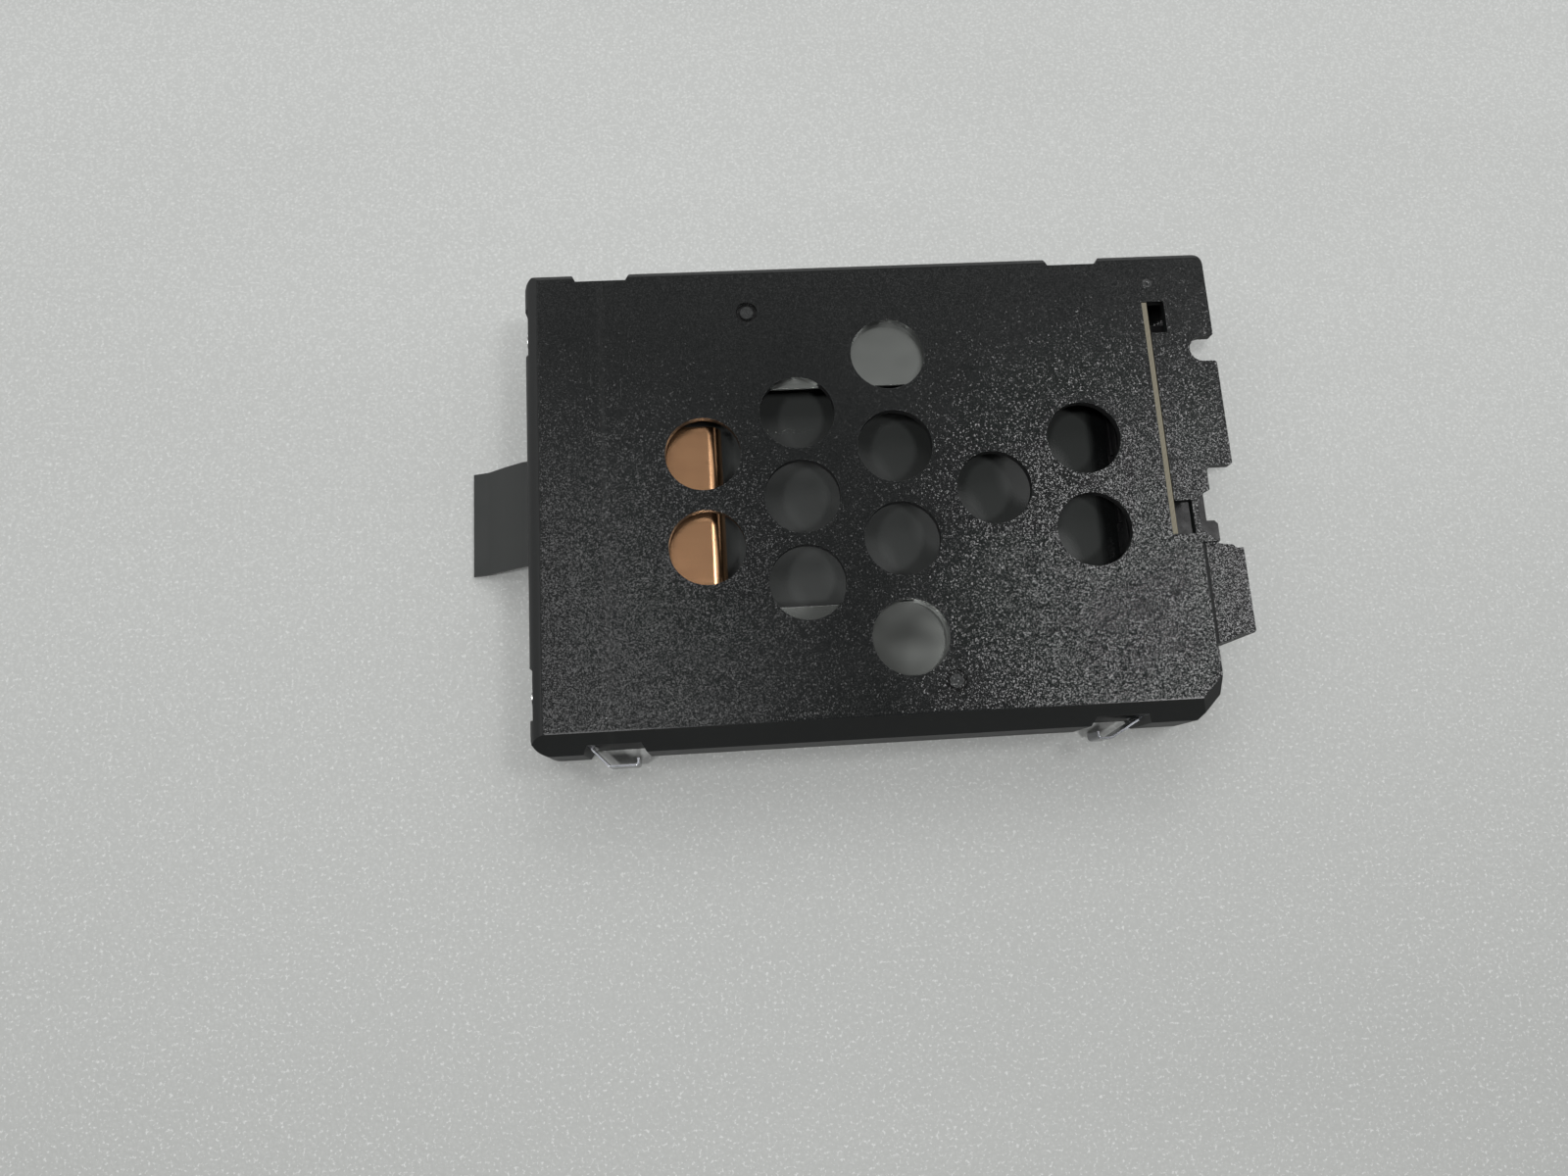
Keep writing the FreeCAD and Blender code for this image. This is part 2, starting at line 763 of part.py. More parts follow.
def build_tray():
    body = new_body("bottom_tray")
    prism(body, "XY", 0, parting, shell_outline())
    dress(body, "Chamfer", size.bottom_chamfer, level_at(0))
    hollow_shell(body, floor, parting + OVERCUT)
    back_recesses(body, floor - JOIN, parting)
    cut_recesses(body, -OVERCUT, parting + OVERCUT)
    hollow_tongue(body, floor, parting + OVERCUT)
    cut_round_notch(body, -OVERCUT, parting + OVERCUT)
    dress(body, "Fillet", size.notch_lip, upright_at(*notch_mouths()))
    along = (rear - size.tray_notch_depth, rear + OVERCUT)
    across = (-size.tray_notch_from, size.wide_notch_top)
    block(body, along, across, (-OVERCUT, parting + OVERCUT), cut=True)
    # posts behind the front wall for the two front screws
    start = inner_front + size.board_clearance
    depth = (start, start + size.post_length)
    posts = [rectangle(depth, span) for span in beside_front_screws(size.post_width)]
    prism(body, "XY", floor - JOIN, size.front_screw_height + size.post_width / 3, *posts)
    holes = [(side * size.front_screw_side, size.front_screw_height) for side in (-1, 1)]
    bite = size.screw_radius + size.screw_bite
    rod(body, "YZ", start - OVERCUT, start + size.post_length + OVERCUT, holes, bite, cut=True)
    # ledge that carries the root of the pull tab
    half = size.tab_width / 2 + size.side_wall
    span = (size.tab_centre - half, size.tab_centre + half)
    block(body, (start, start + size.ledge_length), span, (floor - JOIN, size.tab_height))
    rod(body, "XY", floor, size.tab_height + OVERCUT, tab_screws(), bite, cut=True)
    # ribs that locate the drive: one along each side, two stops at its front
    along = (rail_start + size.rib_thickness, rail_end - size.post_length)
    outer = size.drive_side + size.rib_thickness
    ribs = [rectangle(along, (-outer, -size.drive_side)), rectangle(along, (size.drive_side, outer))]
    prism(body, "XY", floor - JOIN, floor + size.rib_height, *ribs)
    stop = start + size.post_length
    depth = (stop, stop + size.stop_thickness)
    places = [side * size.rail_flange_edge for side in (-1, 1)]
    stops = [rectangle(depth, (place - size.ledge_length, place + size.ledge_length)) for place in places]
    prism(body, "XY", floor - JOIN, floor + size.stop_height, *stops)
    add_board_guides(body)
    rod(body, "XY", floor - JOIN, parting, rear_bosses(), size.boss_radius)
    clear = size.screw_radius + size.screw_play
    rod(body, "XY", -OVERCUT, parting + OVERCUT, rear_bosses(), clear, cut=True)
    sink = size.head_radius + size.screw_play
    rod(body, "XY", -OVERCUT, size.counterbore_depth, rear_bosses(), sink, cut=True)
    return body


def add_board_guides(body):
    """Grooved posts that hold the two upright edges of the board."""
    wall = size.guide_wall
    grip = size.guide_grip
    gap = size.board_clearance
    outlines = []
    for edge, outward in ((board_low - size.board_shoulder, -1), (board_high + size.board_shoulder, 1)):
        mouth = edge - outward * grip
        bottom = edge + outward * gap
        back = bottom + outward * wall
        outlines.append([
            (board_front - gap - wall, back),
            (board_front - gap - wall, mouth),
            (board_front - gap, mouth),
            (board_front - gap, bottom),
            (board_rear + gap, bottom),
            (board_rear + gap, mouth),
            (board_rear + gap + wall, mouth),
            (board_rear + gap + wall, back),
        ])
    prism(body, "XY", floor - JOIN, floor + size.guide_height, *outlines)


# --- steel and copper ----------------------------------------------------------------------

def build_rail(side):
    """Folded channel: wide top flange under the cover, web beside the wall, small foot."""
    sign = -1 if side == "near" else 1
    half = size.rail_thickness.value / 2
    edge = size.rail_flange_edge.value
    web = rail_outside.value - half
    foot = web - size.rail_foot.value
    start = rail_start.value
    corners = [
        Vector(start, sign * edge, ceiling.value - half),
        Vector(start, sign * web, ceiling.value - half),
        Vector(start, sign * web, floor.value + half),
        Vector(start, sign * foot, floor.value + half),
    ]
    length = (rail_end - rail_start).value
    shape = bent_strip(corners, [half * 4] * 2, half * 2, Vector(length, 0, 0))
    x, y = rail_stakes()[side]
    radius = (size.stake_radius + size.board_clearance).value
    hole = Part.makeCylinder(radius, 2 * OVERCUT, Vector(x.value, y.value, ceiling.value - OVERCUT))
    return sheet_piece(side + "_rail", shape.cut(hole))


def build_clip(label, x, y, way):
    """Leaf with a rolled eye in the wall: neck, slope, flat crest beyond the wall, turned-in lip."""
    rise = (size.front_clip_rise if way > 0 else size.rear_clip_rise).value
    base = parting.value + size.screw_bite.value
    thickness = size.clip_thickness.value
    crest = (size.recess_depth + size.eye_depth + size.clip_crest).value - thickness / 2
    profile = [
        (0, 0),
        (0, size.clip_neck.value),
        (rise, crest),
        (size.clip_length.value, crest),
        (size.clip_length.value, crest - size.clip_lip.value),
    ]
    corners = [Vector(x.value + way * along, y.value - out, base) for along, out in profile]
    width = Vector(0, 0, size.clip_tall.value)
    leaf = bent_strip(corners, [thickness * 1.5] * 3, thickness, width)
    eye = Part.makeCylinder(size.eye_radius.value, size.clip_tall.value, Vector(x.value, y.value, base))
    return sheet_piece(label, leaf.fuse(eye).removeSplitter())


def build_leaf():
    """Copper sheet: hooked root behind the anchor bar, long flat, rolled-down free end."""
    half = size.leaf_thickness.value / 2
    start = (inner_front + size.anchor_from - size.side_wall).value
    hook = start - size.slot_play.value - half
    level = leaf_level.value
    side = -size.leaf_centre.value - size.leaf_width.value / 2
    bend = -size.leaf_bend.value
    end = -size.leaf_end.value
    droop = level - size.leaf_droop.value
    slope_from = start + (size.anchor_length + size.anchor_from).value
    corners = [
        Vector(hook, side, level - size.leaf_depth.value),
        Vector(hook, side, level),
        Vector(slope_from, side, level),
        Vector(bend, side, droop),
        Vector(end, side, droop - size.leaf_curl.value),
    ]
    width = Vector(0, size.leaf_width.value, 0)
    radii = [half * 4, half * 4, size.leaf_roll.value]
    return sheet_piece("copper_leaf", bent_strip(corners, radii, half * 2, width))


# --- board and connectors ------------------------------------------------------------------

def blade_spans():
    """Y spans of the signal and power blades, side by side about the connector's centre."""
    total = size.power_blade + size.blade_gap + size.signal_blade
    start = size.connector_centre - total / 2
    signal = (start, start + size.signal_blade)
    power = (signal[1] + size.blade_gap, signal[1] + size.blade_gap + size.power_blade)
    return {"power": power, "signal": signal}


def blade_level():
    middle = size.connector_bottom + size.connector_height / 2
    return middle - size.blade_thickness / 2, middle + size.blade_thickness / 2


def board_outline():
    """Upright board: wide body in the guides, narrower upper tab in the cover's slit."""
    wide_low = board_low - size.board_shoulder
    wide_high = board_high + size.board_shoulder
    neck = ceiling - size.board_clearance
    return [
        (wide_low, floor),
        (wide_high, floor),
        (wide_high, neck),
        (board_high, neck),
        (board_high, top - size.board_clearance),
        (board_low, top - size.board_clearance),
        (board_low, neck),
        (wide_low, neck),
    ]


def build_board():
    body = new_body("interposer_board")
    prism(body, "YZ", board_front, board_rear, board_outline())
    return body


def build_board_components():
    """Chip parts soldered to the board's rear face above the plug."""
    body = new_body("board_components")
    low = size.connector_bottom + size.connector_height + size.guide_grip
    wide = size.board_thickness
    pitch = wide * 4
    starts = [board_low + size.board_window_wide + pitch * index for index in range(1, CHIP_COUNT + 1)]
    parts = [rectangle((start, start + wide), (low, low + wide * 2)) for start in starts]
    prism(body, "YZ", board_rear, board_rear + wide, *parts)
    return body


def blade_outline(span, level, key):
    """L-shaped section of one blade or socket: a flat bar with a short leg at one end."""
    low, high = level
    return [
        (span[0], low - key),
        (span[0] + (high - low), low - key),
        (span[0] + (high - low), low),
        (span[1], low),
        (span[1], high),
        (span[0], high),
    ]


def build_receptacle():
    """Socket for the drive: housing with an L-shaped slot for each blade of the drive's plug."""
    body = new_body("drive_receptacle")
    half = size.connector_width / 2
    y_span = (size.connector_centre - half, size.connector_centre + half)
    z_span = (size.connector_bottom, size.connector_bottom + size.connector_height)
    mouth = board_front - size.receptacle_depth
    block(body, (mouth, board_front), y_span, z_span)
    gap = size.board_clearance
    low, high = blade_level()
    for span in blade_spans().values():
        slot = (span[0] - gap, span[1] + gap)
        outline = blade_outline(slot, (low - gap, high + gap), size.blade_thickness)
        prism(body, "YZ", mouth - OVERCUT, board_front - size.receptacle_back, outline, cut=True)
    return body


def build_plug():
    """Plug for the computer: base against the board and two L-shaped blades."""
    body = new_body("host_plug")
    half = size.connector_width / 2
    y_span = (size.connector_centre - half, size.connector_centre + half)
    z_span = (size.connector_bottom, size.connector_bottom + size.connector_height)
    base_end = board_rear + size.plug_base
    block(body, (board_rear, base_end), y_span, z_span)
    for span in blade_spans().values():
        outline = blade_outline(span, blade_level(), size.blade_thickness)
        prism(body, "YZ", base_end - JOIN, base_end + size.plug_blade, outline)
    # guide blocks at both ends, with slanted tips
    block_width = size.plug_block
    tip = board_rear + size.plug_reach
    starts = (y_span[0], y_span[1] - block_width)
    for start in starts:
        block(body, (board_rear, tip), (start, start + block_width), z_span)
    corners = [(tip, place) for start in starts for place in (start, start + block_width)]
    dress(body, "Chamfer", size.notch_lip, upright_at(*corners))
    return body


def build_contacts(label, blade, count, x_span, base):
    """A row of flat contacts on the blade's lower side, one solid each."""
    body = new_body(label)
    span = blade_spans()[blade]
    first = (span[0] + span[1]) / 2 - size.contact_pitch * (count - 1) / 2 + size.blade_thickness / 4
    half = size.contact_width / 2
    middles = [first + size.contact_pitch * index for index in range(count)]
    strips = [rectangle(x_span, (middle - half, middle + half)) for middle in middles]
    prism(body, "XY", base, base + size.contact_thickness, *strips)
    return body


def build_all_contacts():
    low = blade_level()[0]
    mouth = board_front - size.receptacle_depth
    inside = (mouth + size.blade_thickness, board_front - size.receptacle_back)
    base_end = board_rear + size.plug_base
    outside = (base_end, base_end + size.plug_blade - size.board_thickness)
    for name, count in (("power", 15), ("signal", 7)):
        build_contacts(f"receptacle_{name}_contacts", name, count, inside, low - size.board_clearance)
        build_contacts(f"plug_{name}_contacts", name, count, outside, low - size.contact_thickness)


# --- pull tab and fasteners ----------------------------------------------------------------

def tab_screws():
    """Places of the two small screws through the clamp bar, the film and the ledge."""
    x = inner_front + size.board_clearance + size.ledge_length / 2
    offset = size.tab_width / 3
    return [(x, size.tab_centre - offset), (x, size.tab_centre + offset)]


def build_pull_tab():
    """Film tab: flat root on the ledge, out through the slot, then hanging to just above the rest."""
    half = size.tab_thickness.value / 2
    side = size.tab_centre.value - size.tab_width.value / 2
    root = (inner_front + size.board_clearance).value + half
    level = tab_level.value
    drop = level - size.tab_tip_height.value - half
    reach = size.tab_reach.value
    corners = [Vector(root + size.ledge_length.value - 2 * half, side, level)]
    for out, down in TAB_BENDS:
        corners.append(Vector(front.value - reach * out, side, level - drop * down))
    width = Vector(0, size.tab_width.value, 0)
    shape = bent_strip(corners, [half * 12] * 3, half * 2, width)
    for x, y in tab_screws():
        radius = (size.screw_radius + size.board_clearance).value
        shape = shape.cut(Part.makeCylinder(radius, 2 * OVERCUT, Vector(x.value, y.value, level - OVERCUT)))
    return sheet_piece("pull_tab", shape)


def build_clamp():
    body = new_body("tab_clamp_bar")
    low = size.tab_height + size.tab_thickness
    start = inner_front + size.board_clearance
    half = size.tab_width / 2 + size.side_wall
    span = (size.tab_centre - half, size.tab_centre + half)
    block(body, (start, start + size.ledge_length), span, (low, low + size.clamp_thickness))
    clear = size.screw_radius + size.board_clearance
    rod(body, "XY", low - OVERCUT, low + size.clamp_thickness + OVERCUT, tab_screws(), clear, cut=True)
    upper = level_at(low + size.clamp_thickness)
    dress(body, "Chamfer", size.tab_thickness, lambda edge: upper(edge) and len(edge.Vertexes) == 2)
    return body


def cross_outline(x, y, reach, half):
    """The plus-shaped recess of a screw head."""
    turns = ((1, 0), (0, 1), (-1, 0), (0, -1))
    corners = []
    for along, across in turns:
        for side in (-1, 1):
            shift_x = along * reach - across * half * side
            shift_y = across * reach + along * half * side
            corners.append((x + shift_x, y + shift_y))
        corners.append((x + (along - across) * half, y + (across + along) * half))
    return corners


def add_screw(body, plane, seat, way, centres, length, head_radius):
    """Flat-topped screws: head outside the seat, shank through it, cross recess in the head."""
    head = size.head_height
    outer = seat - way * head
    tip = seat + way * length
    low, high = (outer, seat) if way > 0 else (seat, outer)
    rod(body, plane, low, high, centres, head_radius)
    low, high = (seat - JOIN, tip) if way > 0 else (tip, seat + JOIN)
    rod(body, plane, low, high, centres, size.screw_radius)
    low, high = (outer - OVERCUT, outer + head / 2) if way > 0 else (outer - head / 2, outer + OVERCUT)
    reach, half = (head_radius * share for share in CROSS_SHARES)
    crosses = [cross_outline(x, y, reach, half) for x, y in centres]
    prism(body, plane, low, high, *crosses, cut=True)


def build_screws():
    seat = front + size.front_recess_depth
    for name, side in (("near", -1), ("far", 1)):
        body = new_body("front_screw_" + name)
        place = [(side * size.front_screw_side, size.front_screw_height)]
        add_screw(body, "YZ", seat, 1, place, size.post_length, size.head_radius)
    for name, place in zip(("near", "far"), rear_bosses()):
        body = new_body("rear_screw_" + name)
        add_screw(body, "XY", size.counterbore_depth, 1, [place], size.rear_screw_length, size.head_radius)
    body = new_body("tab_clamp_screws")
    seat = size.tab_height + size.tab_thickness + size.clamp_thickness
    add_screw(body, "XY", seat, -1, tab_screws(), size.tab_height / 2, size.head_radius * 0.75)


def build_everything():
    build_cover()
    build_tray()
    for side in ("near", "far"):
        build_rail(side)
    for label, (x, y, way) in clip_eyes().items():
        build_clip(label, x, y, way)
    build_leaf()
    build_board()
    build_board_components()
    build_receptacle()
    build_plug()
    build_all_contacts()
    build_pull_tab()
    build_clamp()
    build_screws()


def export_pieces():
    # faces left in one plane by several features are merged once, in each body's last feature
    for body in doc.findObjects("PartDesign::Body"):
        body.Tip.Refine = True
    doc.recompute()
    for item in doc.Objects:
        if "Invalid" in item.State or "Error" in item.State:
            raise RuntimeError(f"{item.Label} is {item.State}")
    os.makedirs("parts", exist_ok=True)
    for item in doc.Objects:
        if item.TypeId not in ("PartDesign::Body", "Part::Feature"):
            continue
        shape = item.Shape
        if shape.isNull() or not shape.isValid() or not shape.Solids:
            raise RuntimeError(f"{item.Label} has no valid shape")
        shape.exportStep(f"parts/{item.Label}.step")
        print(f"{item.Label}: {len(shape.Solids)} solids, {shape.Volume:.1f} mm3")


build_everything()
export_pieces()
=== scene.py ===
"""Looks of the hot swap drive caddy: camera, floor, light, materials and the small details.

Everything is in metres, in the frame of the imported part: +X to the connector end, +Y to the
far side, +Z up from the underside.
"""

import math

import bpy
from mathutils import Euler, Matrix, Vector


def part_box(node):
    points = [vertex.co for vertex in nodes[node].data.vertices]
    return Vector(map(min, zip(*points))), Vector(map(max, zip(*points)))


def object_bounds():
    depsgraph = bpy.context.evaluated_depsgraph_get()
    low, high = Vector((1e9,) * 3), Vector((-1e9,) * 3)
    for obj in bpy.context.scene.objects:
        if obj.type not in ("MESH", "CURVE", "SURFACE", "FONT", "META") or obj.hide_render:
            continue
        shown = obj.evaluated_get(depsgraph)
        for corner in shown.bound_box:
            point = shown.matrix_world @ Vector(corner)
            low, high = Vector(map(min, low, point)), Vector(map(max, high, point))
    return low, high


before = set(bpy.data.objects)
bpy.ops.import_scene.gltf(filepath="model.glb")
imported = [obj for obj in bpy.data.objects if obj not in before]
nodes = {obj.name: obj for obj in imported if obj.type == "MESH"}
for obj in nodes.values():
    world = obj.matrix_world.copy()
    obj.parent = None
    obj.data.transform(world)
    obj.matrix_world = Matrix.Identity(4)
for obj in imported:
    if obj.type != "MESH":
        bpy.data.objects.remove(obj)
cad_low, cad_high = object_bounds()

MM = 0.001
SHELL_LOW, SHELL_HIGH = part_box("top_shell")
TOP = SHELL_HIGH[2]

# marks on the cover's upper face
SINK_MARKS = (Vector((9.25 * MM, -33.5 * MM, TOP)), Vector((-22.03 * MM, 33.5 * MM, TOP)))
EJECTOR_RING = Vector((50.3 * MM, 36.2 * MM, TOP))
EJECTOR_RING_RADIUS = 0.60 * MM
SMALL_DOT = Vector((44.1 * MM, -17.0 * MM, TOP))
SMALL_DOT_RADIUS = 0.20 * MM
SINK_LINE_FROM_FRONT = 13.3 * MM
SINK_LINE_FADE = (1.0 * MM, 0.2 * MM)
GROOVE_INNER_RIM = (1.15 * MM, 1.30 * MM)
GROOVE_OUTER_RIM = (2.0 * MM, 1.85 * MM)
STUB_RIM = (1.2 * MM, 1.0 * MM)
SCRATCHED_X = (-30 * MM, -42 * MM)
SCRATCHED_Y = (12 * MM, 24 * MM)

# the smooth bands along three edges of the cover: where the grain starts, and where it is full
FRONT_BAND = (1.7 * MM, 2.3 * MM)
NEAR_BAND = (3.3 * MM, 3.7 * MM)
FAR_BAND = (0.9 * MM, 1.3 * MM)

# the dust lies low on the tray's floor, and ends before the connectors, so the floor under them
# stays darker as painted shade
DUST_END_SHADE_X = (42.0 * MM, 40.0 * MM)
DUST_TOP_Z = (3.0 * MM, 2.0 * MM)

# the moulded plastic's skin
GRAIN_SCALE = 6000.0
GRAIN_LEAN = 0.22
SKIN_ROUGHNESS = 0.15
WALL_ROUGHNESS = 0.50
TRAY_FLOOR_ROUGHNESS = 0.39
PLASTIC_EDGE = 0.06 * MM

# places of the Mix node's sockets, which share their names between numbers and colours
NUMBER_FACTOR, NUMBER_FIRST, NUMBER_SECOND, NUMBER_OUT = 0, 2, 3, 0
COLOUR_FIRST, COLOUR_SECOND, COLOUR_OUT = 6, 7, 2
BEVEL_SAMPLES = 4

# room and camera
LAMP_HEIGHT = 1.2
FLOOR_HALF = 2.0
FLOOR_GAP = 0.05 * MM
BACKGROUND_STRENGTH = 0.62
CAMERA_PLACE = (-0.0285, -0.0565, 0.1980)
CAMERA_ANGLES = (12.459, -2.402, -3.438)
CAMERA_LENS = 25.875
CAMERA_SENSOR = 36.0


def rgb(red, green, blue):
    return (red, green, blue, 1.0)


# --- node helpers --------------------------------------------------------------------------

class Tree:
    """Short calls for the nodes of one material or world."""

    def __init__(self, owner):
        owner.use_nodes = True
        self.nodes = owner.node_tree.nodes
        self.links = owner.node_tree.links

    def add(self, kind, inputs=None, **settings):
        node = self.nodes.new(kind)
        for name, value in settings.items():
            setattr(node, name, value)
        for name, value in (inputs or {}).items():
            self.feed(value, node.inputs[name])
        return node

    def feed(self, value, socket):
        if isinstance(value, bpy.types.NodeSocket):
            self.links.new(value, socket)
        else:
            socket.default_value = value

    def math(self, operation, first, second=0.0):
        node = self.add("ShaderNodeMath", operation=operation)
        self.feed(first, node.inputs[0])
        self.feed(second, node.inputs[1])
        return node.outputs[0]

    def product(self, first, second):
        return self.math("MULTIPLY", first, second)

    def apart(self, value, middle):
        """How far the value lies from the middle, on either side."""
        return self.math("ABSOLUTE", self.math("SUBTRACT", value, middle))

    def vector(self, operation, inputs):
        return self.add("ShaderNodeVectorMath", inputs, operation=operation).outputs["Vector"]

    def remap(self, value, low, high, to_low=0.0, to_high=1.0):
        """A smooth step from to_low to to_high as the value goes from low to high."""
        node = self.add("ShaderNodeMapRange", interpolation_type="SMOOTHSTEP", clamp=True)
        self.feed(value, node.inputs["Value"])
        self.feed(low, node.inputs["From Min"])
        self.feed(high, node.inputs["From Max"])
        self.feed(to_low, node.inputs["To Min"])
        self.feed(to_high, node.inputs["To Max"])
        return node.outputs["Result"]

    def mix(self, factor, first, second):
        """A colour that goes from the first to the second as the factor goes from 0 to 1."""
        node = self.add("ShaderNodeMix", data_type="RGBA")
        self.feed(factor, node.inputs["Factor"])
        self.feed(first, node.inputs[COLOUR_FIRST])
        self.feed(second, node.inputs[COLOUR_SECOND])
        return node.outputs[COLOUR_OUT]

    def blend(self, factor, first, second):
        """As mix, for plain numbers."""
        inputs = {NUMBER_FACTOR: factor, NUMBER_FIRST: first, NUMBER_SECOND: second}
        return self.add("ShaderNodeMix", inputs, data_type="FLOAT").outputs[NUMBER_OUT]

    def noise(self, scale, detail=2.0, rough=0.5, vector=None):
        inputs = {"Scale": scale, "Detail": detail, "Roughness": rough}
        inputs["Vector"] = vector or self.place()
        return self.add("ShaderNodeTexNoise", inputs).outputs["Fac"]

    def cells(self, scale):
        return self.add("ShaderNodeTexVoronoi", {"Vector": self.place(), "Scale": scale})

    def place(self):
        if not hasattr(self, "spot"):
            self.spot = self.add("ShaderNodeNewGeometry").outputs["Position"]
        return self.spot

    def stretched(self, x, y, z):
        """The place in space, scaled unevenly, for streaks that run along one axis."""
        node = self.add("ShaderNodeMapping", {"Vector": self.place(), "Scale": (x, y, z)})
        return node.outputs["Vector"]

    def split(self, vector):
        return self.add("ShaderNodeSeparateXYZ", {"Vector": vector}).outputs

    def face_normal(self):
        """The three parts of the flat face's own normal."""
        return self.split(self.add("ShaderNodeNewGeometry").outputs["True Normal"])

    def facing_up(self):
        """1 where the face looks straight up, 0 elsewhere."""
        return self.remap(self.face_normal()["Z"], 0.985, 0.999)

    def level_faces(self):
        """1 where the face is level, up or down, 0 elsewhere."""
        return self.remap(self.math("ABSOLUTE", self.face_normal()["Z"]), 0.98, 0.999)

    def distance(self, point):
        inputs = {0: self.place(), 1: point}
        return self.add("ShaderNodeVectorMath", inputs, operation="DISTANCE").outputs["Value"]

    def soft_edges(self, radius):
        """Normal with the edges rounded by the given radius."""
        node = self.add("ShaderNodeBevel", {"Radius": radius}, samples=BEVEL_SAMPLES)
        return node.outputs["Normal"]

    def edge_wear(self, radius):
        """0 on flat faces, rising to 1 along edges."""
        flat = self.add("ShaderNodeNewGeometry").outputs["Normal"]
        inputs = {0: self.soft_edges(radius), 1: flat}
        node = self.add("ShaderNodeVectorMath", inputs, operation="DOT_PRODUCT")
        return self.remap(node.outputs["Value"], 0.985, 0.80)

    def glints(self, scale, spread, mask, normal):
        """The normal, leaning a different way in each small grain."""
        lean = self.vector("SUBTRACT", {0: self.cells(scale).outputs["Color"], 1: (0.5, 0.5, 0.5)})
        lean = self.vector("SCALE", {0: lean, "Scale": self.product(mask, spread)})
        return self.vector("NORMALIZE", {0: self.vector("ADD", {0: normal, 1: lean})})

    def bump(self, height, distance, strength=1.0, normal=None):
        inputs = {"Height": height, "Distance": distance, "Strength": strength}
        if normal is not None:
            inputs["Normal"] = normal
        return self.add("ShaderNodeBump", inputs).outputs["Normal"]


def new_material(name, metallic=0.0, specular=0.5):
    made = bpy.data.materials.new(name)
    tree = Tree(made)
    shader = tree.nodes["Principled BSDF"]
    shader.inputs["Metallic"].default_value = metallic
    shader.inputs["Specular IOR Level"].default_value = specular
    return made, tree, shader


def set_shader(tree, shader, colour, roughness, normal):
    tree.feed(colour, shader.inputs["Base Color"])
    tree.feed(roughness, shader.inputs["Roughness"])
    tree.feed(normal, shader.inputs["Normal"])


def dress_nodes(material, *names):
    for name in names:
        data = nodes[name].data
        data.materials.clear()
        data.materials.append(material)


# --- materials -----------------------------------------------------------------------------

def grained_plastic(name, on_cover):
    """Black moulded plastic: spark-eroded grain on level faces, plain walls.

    The cover's grain stops at smooth bands, and the tray's open floor is dusty instead, with
    painted shade left under the connectors where the dust ends."""
    made, tree, shader = new_material(name)
    cloud = tree.noise(42.0, 4.0, 0.55)
    haze = tree.noise(1400.0, 3.0, 0.6)
    wear = tree.product(tree.edge_wear(0.25 * MM), tree.noise(420.0, 2.0))
    level = tree.level_faces()
    if on_cover:
        skin = cover_skin(tree)
        dust_and_shade_mask = 0.0
    else:
        dust_and_shade_mask = tray_dust_and_shade(tree)
        skin = tree.product(level, tree.math("SUBTRACT", 1.0, dust_and_shade_mask))
    body = tree.mix(cloud, rgb(0.0085, 0.0095, 0.0096), rgb(0.0120, 0.0132, 0.0130))
    # lighter dust on the tray's floor, ending before the connectors so the floor under them stays
    # dark as painted shade
    body = tree.mix(dust_and_shade_mask, body, rgb(0.046, 0.050, 0.048))
    body = tree.mix(tree.remap(haze, 0.60, 0.80, 0.0, 0.30), body, rgb(0.036, 0.038, 0.037))
    body = tree.mix(tree.product(wear, 0.14), body, rgb(0.11, 0.115, 0.115))
    rough = tree.remap(level, 0.0, 1.0, WALL_ROUGHNESS, SKIN_ROUGHNESS)
    rough = tree.math("ADD", rough, tree.remap(cloud, 0.3, 0.7, -0.01, 0.03))
    rough = tree.math("MAXIMUM", rough, tree.product(dust_and_shade_mask, TRAY_FLOOR_ROUGHNESS))
    normal = tree.glints(GRAIN_SCALE, GRAIN_LEAN, skin, tree.soft_edges(PLASTIC_EDGE))
    if on_cover:
        body, normal = cover_marks(tree, body, normal)
    set_shader(tree, shader, body, rough, normal)
    return made


def cover_skin(tree):
    """1 on the grained upper skin of the cover, 0 on the smooth bands along three of its edges."""
    x, y, _ = tree.split(tree.place())
    front = tree.remap(x, *(SHELL_LOW[0] + edge for edge in FRONT_BAND))
    near = tree.remap(y, *(SHELL_LOW[1] + edge for edge in NEAR_BAND))
    distant = tree.remap(y, *(SHELL_HIGH[1] - edge for edge in FAR_BAND))
    skin = tree.product(tree.product(front, near), distant)
    return tree.product(skin, tree.facing_up())


def tray_dust_and_shade(tree):
    """1 on the tray's dusty floor in front of the connectors, 0 elsewhere; the 0 under the
    connectors keeps the floor there darker as painted shade.
    """
    x, _, z = tree.split(tree.place())
    bay = tree.product(tree.remap(x, *DUST_END_SHADE_X), tree.remap(z, *DUST_TOP_Z))
    return tree.product(tree.facing_up(), bay)


